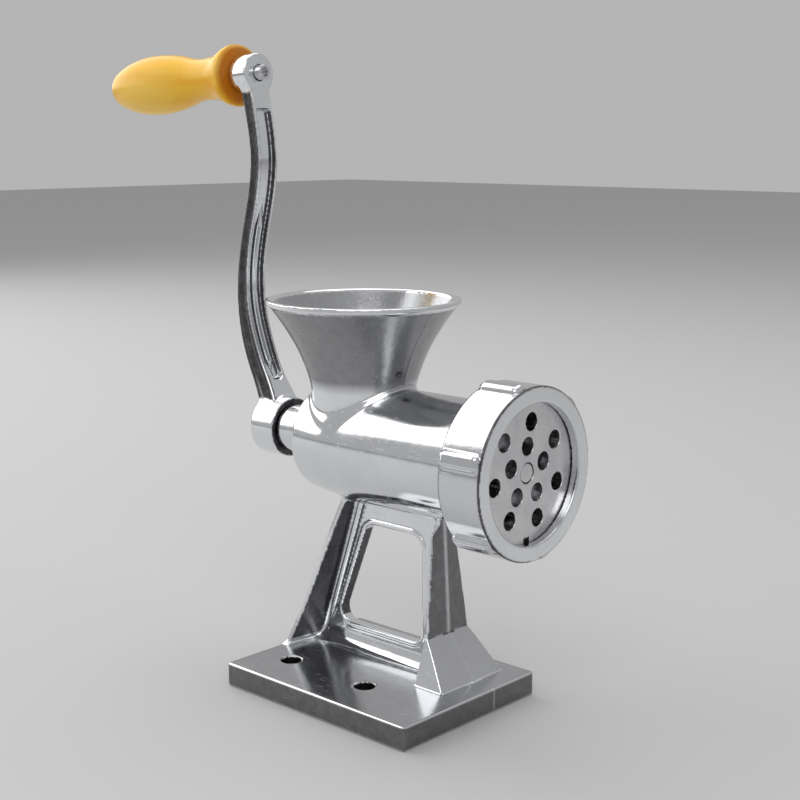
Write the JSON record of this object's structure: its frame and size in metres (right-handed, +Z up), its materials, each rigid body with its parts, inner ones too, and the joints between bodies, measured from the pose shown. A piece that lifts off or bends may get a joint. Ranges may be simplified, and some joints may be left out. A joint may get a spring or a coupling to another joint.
{
  "type": "meat grinder",
  "caption": "Cast hand crank meat grinder on a bolt-down base: trumpet hopper, barrel with auger, cross knife, perforated plate in a ribbed ring nut, and a curved crank with a wooden grip.",
  "frame": {"origin": "on the underside of the base plate, right below the barrel's axis, at the middle of the plate's length", "axes": "+Z up; +X along the barrel's axis from the crank to the perforated plate; -Y is the side that the base plate reaches further out on"},
  "size_m": [0.3041, 0.113, 0.3223],
  "materials": {
    "cast_aluminium": "polished casting with fine scratches, pits and parting lines",
    "auger_casting": "tumbled casting",
    "steel": "ground and turned",
    "bronze": "oiled sintered bronze",
    "nylon": "moulded",
    "varnished_wood": "honey-yellow gloss varnish over turned wood"
  },
  "bodies": {
    "casting": {"base_plate": "cast_aluminium", "pedestal": "cast_aluminium", "barrel": "cast_aluminium", "hopper": "cast_aluminium", "rear_bush": "bronze", "plate_key": "steel"},
    "crankshaft": {"auger": "auger_casting", "thrust_washer": "nylon", "knife_stud": "steel", "knife": "steel", "crank_arm": "cast_aluminium", "crank_washer": "steel", "crank_screw": "steel", "grip_spindle": "steel", "grip_washer": "steel"},
    "handle": {"grip": "varnished_wood"},
    "cutting_plate": {"plate": "steel"},
    "ring": {"ring_nut": "cast_aluminium"}
  },
  "joints": [
    {"name": "crank_turn", "type": "hinge", "parent": "casting", "child": "crankshaft", "pos_m": [0, 0, 0.122], "axis": [1, 0, 0], "continuous": true},
    {"name": "grip_turn", "type": "hinge", "parent": "crankshaft", "child": "handle", "pos_m": [-0.1064, 0, 0.3068], "axis": [0.9984, 0, 0.0558], "continuous": true},
    {"name": "plate_slide", "type": "slide", "parent": "casting", "child": "cutting_plate", "axis": [1, 0, 0], "range_m": [0, 0.015]},
    {"name": "ring_turn", "type": "hinge", "parent": "cutting_plate", "child": "ring", "pos_m": [0.072, 0, 0.122], "axis": [1, 0, 0], "range_deg": [0, 1800]}
  ],
  "couplings": [
    {"joint": "plate_slide", "follows": "ring_turn", "m_per_rad": 0.00047746}
  ]
}
